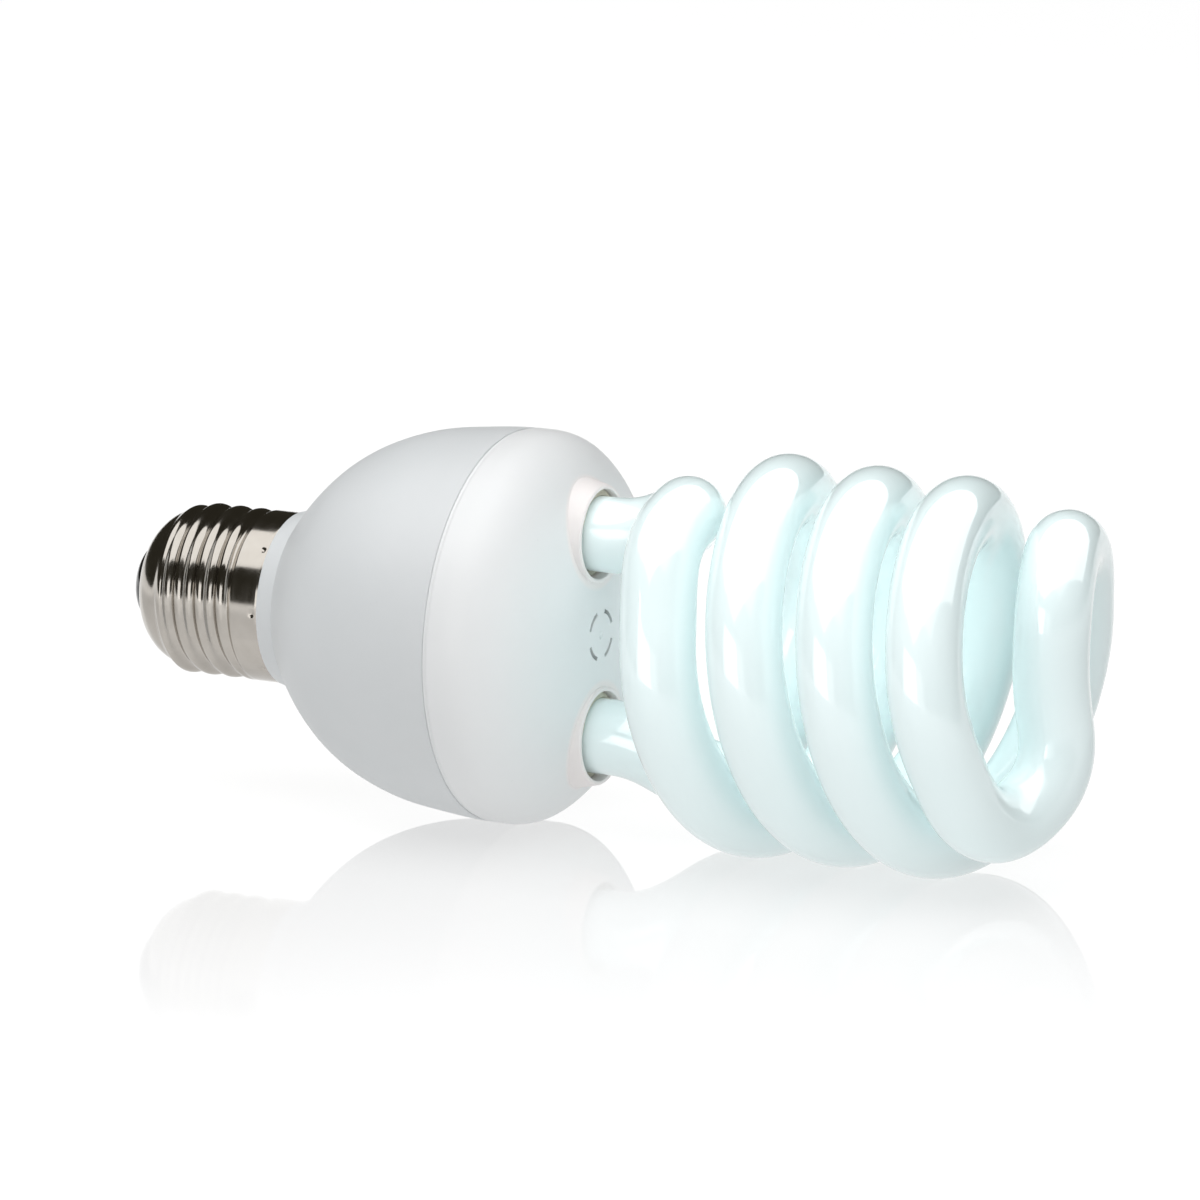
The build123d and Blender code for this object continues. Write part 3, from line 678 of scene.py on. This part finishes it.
def frames(p):
    """Tangents and two side vectors that turn as little as possible along the line."""
    t = np.gradient(p, axis=0)
    t /= np.linalg.norm(t, axis=1)[:, None]
    u = np.empty_like(p)
    first = np.array([0.0, 1.0, 0.0])
    u[0] = first - t[0] * (first @ t[0])
    u[0] /= np.linalg.norm(u[0])
    for i in range(1, len(p)):
        v = u[i - 1] - t[i] * (u[i - 1] @ t[i])
        u[i] = v / np.linalg.norm(v)
    return t, u, np.cross(t, u)


def sweep_tube(name, p, radius, around, mat):
    t, u, v = frames(p)
    a = np.linspace(0, 2 * np.pi, around, endpoint=False)
    ring = np.cos(a)[None, :, None] * u[:, None, :] + np.sin(a)[None, :, None] * v[:, None, :]
    verts = p[:, None, :] + radius[:, None, None] * ring
    n = len(p)
    idx = np.arange(n * around).reshape(n, around)
    nxt = np.roll(idx, -1, axis=1)
    quads = np.stack([idx[:-1], nxt[:-1], nxt[1:], idx[1:]], -1).reshape(-1, 4)
    verts = np.vstack([verts.reshape(-1, 3), p[:1], p[-1:]])
    caps = [(n * around, idx[0, (k + 1) % around], idx[0, k]) for k in range(around)]
    caps += [(n * around + 1, idx[-1, k], idx[-1, (k + 1) % around]) for k in range(around)]
    return new_object(name, verts, quads.tolist() + caps, mat, True, 40)


line = centre_line()
path, along = resample(line, 0.72)
radius = np.full(len(path), 5.8)
tube = sweep_tube("spiral_glass_tube", path, radius, 72, M["coated_tube"])
rides(tube, "spiral_tube", slot="coated_tube")


# ---------------------------------------------------------------------- stage
def floor_material():
    """Pale and lit from within, with a mirror gloss round the object that dies away further out."""
    m = bpy.data.materials.new("studio_floor")
    m.use_nodes = True
    nt = m.node_tree
    nt.nodes.clear()
    out = nt.nodes.new("ShaderNodeOutputMaterial")
    v = coords(nt)
    f = noise(nt, v, 3.0, 2.0, 0.5)
    diffuse = nt.nodes.new("ShaderNodeBsdfDiffuse")
    nt.links.new(ramp(nt, f, [(0.3, (FLOOR_ALBEDO,) * 3), (0.7, (FLOOR_ALBEDO + 0.01,) * 3)]), diffuse.inputs["Color"])
    sep = nt.nodes.new("ShaderNodeSeparateXYZ")
    nt.links.new(v, sep.inputs[0])
    # the gloss is strongest under the lamp and gone a hand's width away, where the glow takes over
    front = math_node(nt, "MULTIPLY_ADD", sep.outputs["X"], 0.4565, math_node(nt, "MULTIPLY", sep.outputs["Y"], -0.8897))
    away = math_node(
        nt, "SQRT",
        math_node(nt, "ADD", math_node(nt, "POWER", sep.outputs["X"], 2.0), math_node(nt, "POWER", sep.outputs["Y"], 2.0)),
    )
    weight = math_node(nt, "MULTIPLY", maprange(nt, front, *SHEEN_FADE), maprange(nt, away, 0.13, 0.35, 1.0, 0.0, True))
    glow = nt.nodes.new("ShaderNodeEmission")
    glow.inputs["Color"].default_value = (1, 1, 1, 1)
    bounce = maprange(nt, nt.nodes.new("ShaderNodeLightPath").outputs["Is Diffuse Ray"], 0.0, 1.0, 1.0, FLOOR_BOUNCE)
    nt.links.new(math_node(nt, "MULTIPLY", maprange(nt, weight, 1.0, 0.0, *FLOOR_GLOW), bounce), glow.inputs["Strength"])
    both = nt.nodes.new("ShaderNodeAddShader")
    nt.links.new(diffuse.outputs[0], both.inputs[0])
    nt.links.new(glow.outputs[0], both.inputs[1])
    gloss = nt.nodes.new("ShaderNodeBsdfGlossy")
    gloss.inputs["Color"].default_value = (1, 1, 1, 1)
    nt.links.new(maprange(nt, front, -0.02, 0.16, 0.02, 0.10), gloss.inputs["Roughness"])
    fresnel = nt.nodes.new("ShaderNodeFresnel")
    fresnel.inputs["IOR"].default_value = FLOOR_IOR
    mixer = nt.nodes.new("ShaderNodeMixShader")
    nt.links.new(math_node(nt, "MULTIPLY", fresnel.outputs[0], weight), mixer.inputs[0])
    nt.links.new(both.outputs[0], mixer.inputs[1])
    nt.links.new(gloss.outputs[0], mixer.inputs[2])
    nt.links.new(mixer.outputs[0], out.inputs["Surface"])
    return m


FLOOR_ALBEDO, FLOOR_IOR, BACKDROP = 0.20, 1.45, 1.45
SHEEN_FADE = (-0.01, 0.15, 1.0, 0.0)
FLOOR_GLOW = (0.70, 0.86)
FLOOR_BOUNCE = 0.85

bpy.ops.mesh.primitive_circle_add(vertices=96, radius=4.0, fill_type="NGON", location=(0, 0, 0))
floor = bpy.context.object
floor.name = "floor"
floor.data.materials.append(floor_material())

INNER_FILL = 0.0024
ROOM = 0.12
world = bpy.data.worlds.new("studio")
bpy.context.scene.world = world
world.use_nodes = True
wt = world.node_tree
wt.nodes.clear()
wo = wt.nodes.new("ShaderNodeOutputWorld")
seen = node(wt, "ShaderNodeBackground", Strength=1.0)
seen.inputs["Color"].default_value = (1.0, 1.0, 1.0, 1.0)
room = node(wt, "ShaderNodeBackground", Strength=1.0)
room.inputs["Color"].default_value = (0.034, 0.031, 0.023, 1.0)
haze = node(wt, "ShaderNodeBackground", Strength=1.0)
haze.inputs["Color"].default_value = (ROOM, ROOM, ROOM, 1.0)
lp = wt.nodes.new("ShaderNodeLightPath")
soft = wt.nodes.new("ShaderNodeMixShader")
wt.links.new(lp.outputs["Is Diffuse Ray"], soft.inputs[0])
wt.links.new(room.outputs[0], soft.inputs[1])
wt.links.new(haze.outputs[0], soft.inputs[2])
mx = wt.nodes.new("ShaderNodeMixShader")
wt.links.new(lp.outputs["Is Camera Ray"], mx.inputs[0])
wt.links.new(soft.outputs[0], mx.inputs[1])
wt.links.new(seen.outputs[0], mx.inputs[2])
wt.links.new(mx.outputs[0], wo.inputs["Surface"])

only_floor = bpy.data.collections.new("lit_floor")
bpy.context.scene.collection.children.link(only_floor)
only_floor.objects.link(floor)


def area(name, centre, aim, size, radiance, up=(0, 0, 1), glossy=True, diffuse=True, only=None):
    """A rectangular soft light of even radiance."""
    data = bpy.data.lights.new(name, "AREA")
    data.shape = "RECTANGLE"
    data.size, data.size_y = size
    data.energy = radiance * math.pi * size[0] * size[1]
    o = bpy.data.objects.new(name, data)
    bpy.context.scene.collection.objects.link(o)
    z = (Vector(centre) - Vector(aim)).normalized()
    x = Vector(up).cross(z).normalized()
    y = z.cross(x)
    mat = Matrix((x, y, z)).transposed().to_4x4()
    mat.translation = centre
    o.matrix_world = mat
    o.visible_camera = False
    o.visible_glossy = glossy
    o.visible_diffuse = diffuse
    if only:
        o.light_linking.receiver_collection = only
    return o


only_tube = bpy.data.collections.new("lit_tube")
bpy.context.scene.collection.children.link(only_tube)
only_tube.objects.link(tube)
lamp = bpy.data.collections.new("lamp")
bpy.context.scene.collection.children.link(lamp)
for o in (tube, shell, housing, cover, insulator):
    lamp.objects.link(o)

only_cover = bpy.data.collections.new("lit_cover")
bpy.context.scene.collection.children.link(only_cover)
only_cover.objects.link(cover)

# soft boxes above and at the left, and what the tube's gloss shows: a long box overhead and a tall panel
area("overhead_softbox", (-0.05, -0.24, 0.92), (-0.05, -0.24, 0.0), (2.0, 1.08), 1.5, up=(0, 1, 0))
area("overhead_fill", (-0.05, -0.24, 0.93), (-0.05, -0.24, 0.0), (2.0, 1.08), 0.70, up=(0, 1, 0), glossy=False)
area("left_softbox", (-0.02, -1.05, 0.19), (0.0, 0.0, 0.05), (0.85, 0.46), 1.5)
area("front_fill", (0.55, -1.05, 0.35), (0.0, 0.0, 0.03), (1.2, 0.8), 0.75, glossy=False, only=only_tube)
dome_fill = area("dome_fill", (1.15, -0.40, 0.22), (0.0, 0.0, 0.03), (0.9, 0.6), 1.3, glossy=False, only=only_cover)
dome_fill.light_linking.blocker_collection = only_cover
area("rear_fill", (-0.6, 1.5, 0.45), (0.0, 0.0, 0.05), (3.2, 0.9), 1.0, glossy=False, only=only_tube)
area("floor_backdrop", (-1.2, 2.3, 0.75), (-0.1, 0.2, 0.75), (4.5, 1.5), BACKDROP, only=only_floor)
area(
    "tube_gloss_box", (0.40, 0.61, 0.915), (0.40, 0.61, 0.0), (1.8, 3.75), 2.8,
    up=(0.658, 0.753, 0.0), diffuse=False, only=only_tube,
)
panel = area(
    "tube_gloss_panel", (-0.325, -1.015, 0.20), (0.0, 0.0, 0.20), (0.78, 0.62), 3.6,
    diffuse=False, only=only_tube,
)
panel.light_linking.blocker_collection = lamp

for i, s0 in enumerate((76.0, 92.0, 108.0)):
    data = bpy.data.lights.new("inner_fill_%d" % i, "POINT")
    data.energy = INNER_FILL
    data.shadow_soft_size = 0.008
    o = bpy.data.objects.new(data.name, data)
    bpy.context.scene.collection.objects.link(o)
    o.location = W((s0, 0.0, 0.0)).tolist()
    o.visible_camera = o.visible_glossy = False
    o.light_linking.receiver_collection = only_tube

# --------------------------------------------------------------------- camera
cam_data = bpy.data.cameras.new("camera")
cam_data.sensor_fit = "HORIZONTAL"
cam_data.sensor_width = 36.0
cam_data.lens = 16266.0 / 1200.0 * 36.0
cam_data.clip_start, cam_data.clip_end = 0.1, 30.0
cam = bpy.data.objects.new("camera", cam_data)
bpy.context.scene.collection.objects.link(cam)
right = Vector((0.88971, 0.45653, 0.0))
down = Vector((0.10604, -0.20665, -0.97265))
forward = Vector((-0.44404, 0.86538, -0.23227))
m = Matrix((right, -down, -forward)).transposed().to_4x4()
m.translation = W((1151.61, -2142.22, 580.43)).tolist()
cam.matrix_world = m
bpy.context.scene.camera = cam

scene = bpy.context.scene
scene.view_settings.view_transform = "Standard"
scene.view_settings.look = "None"
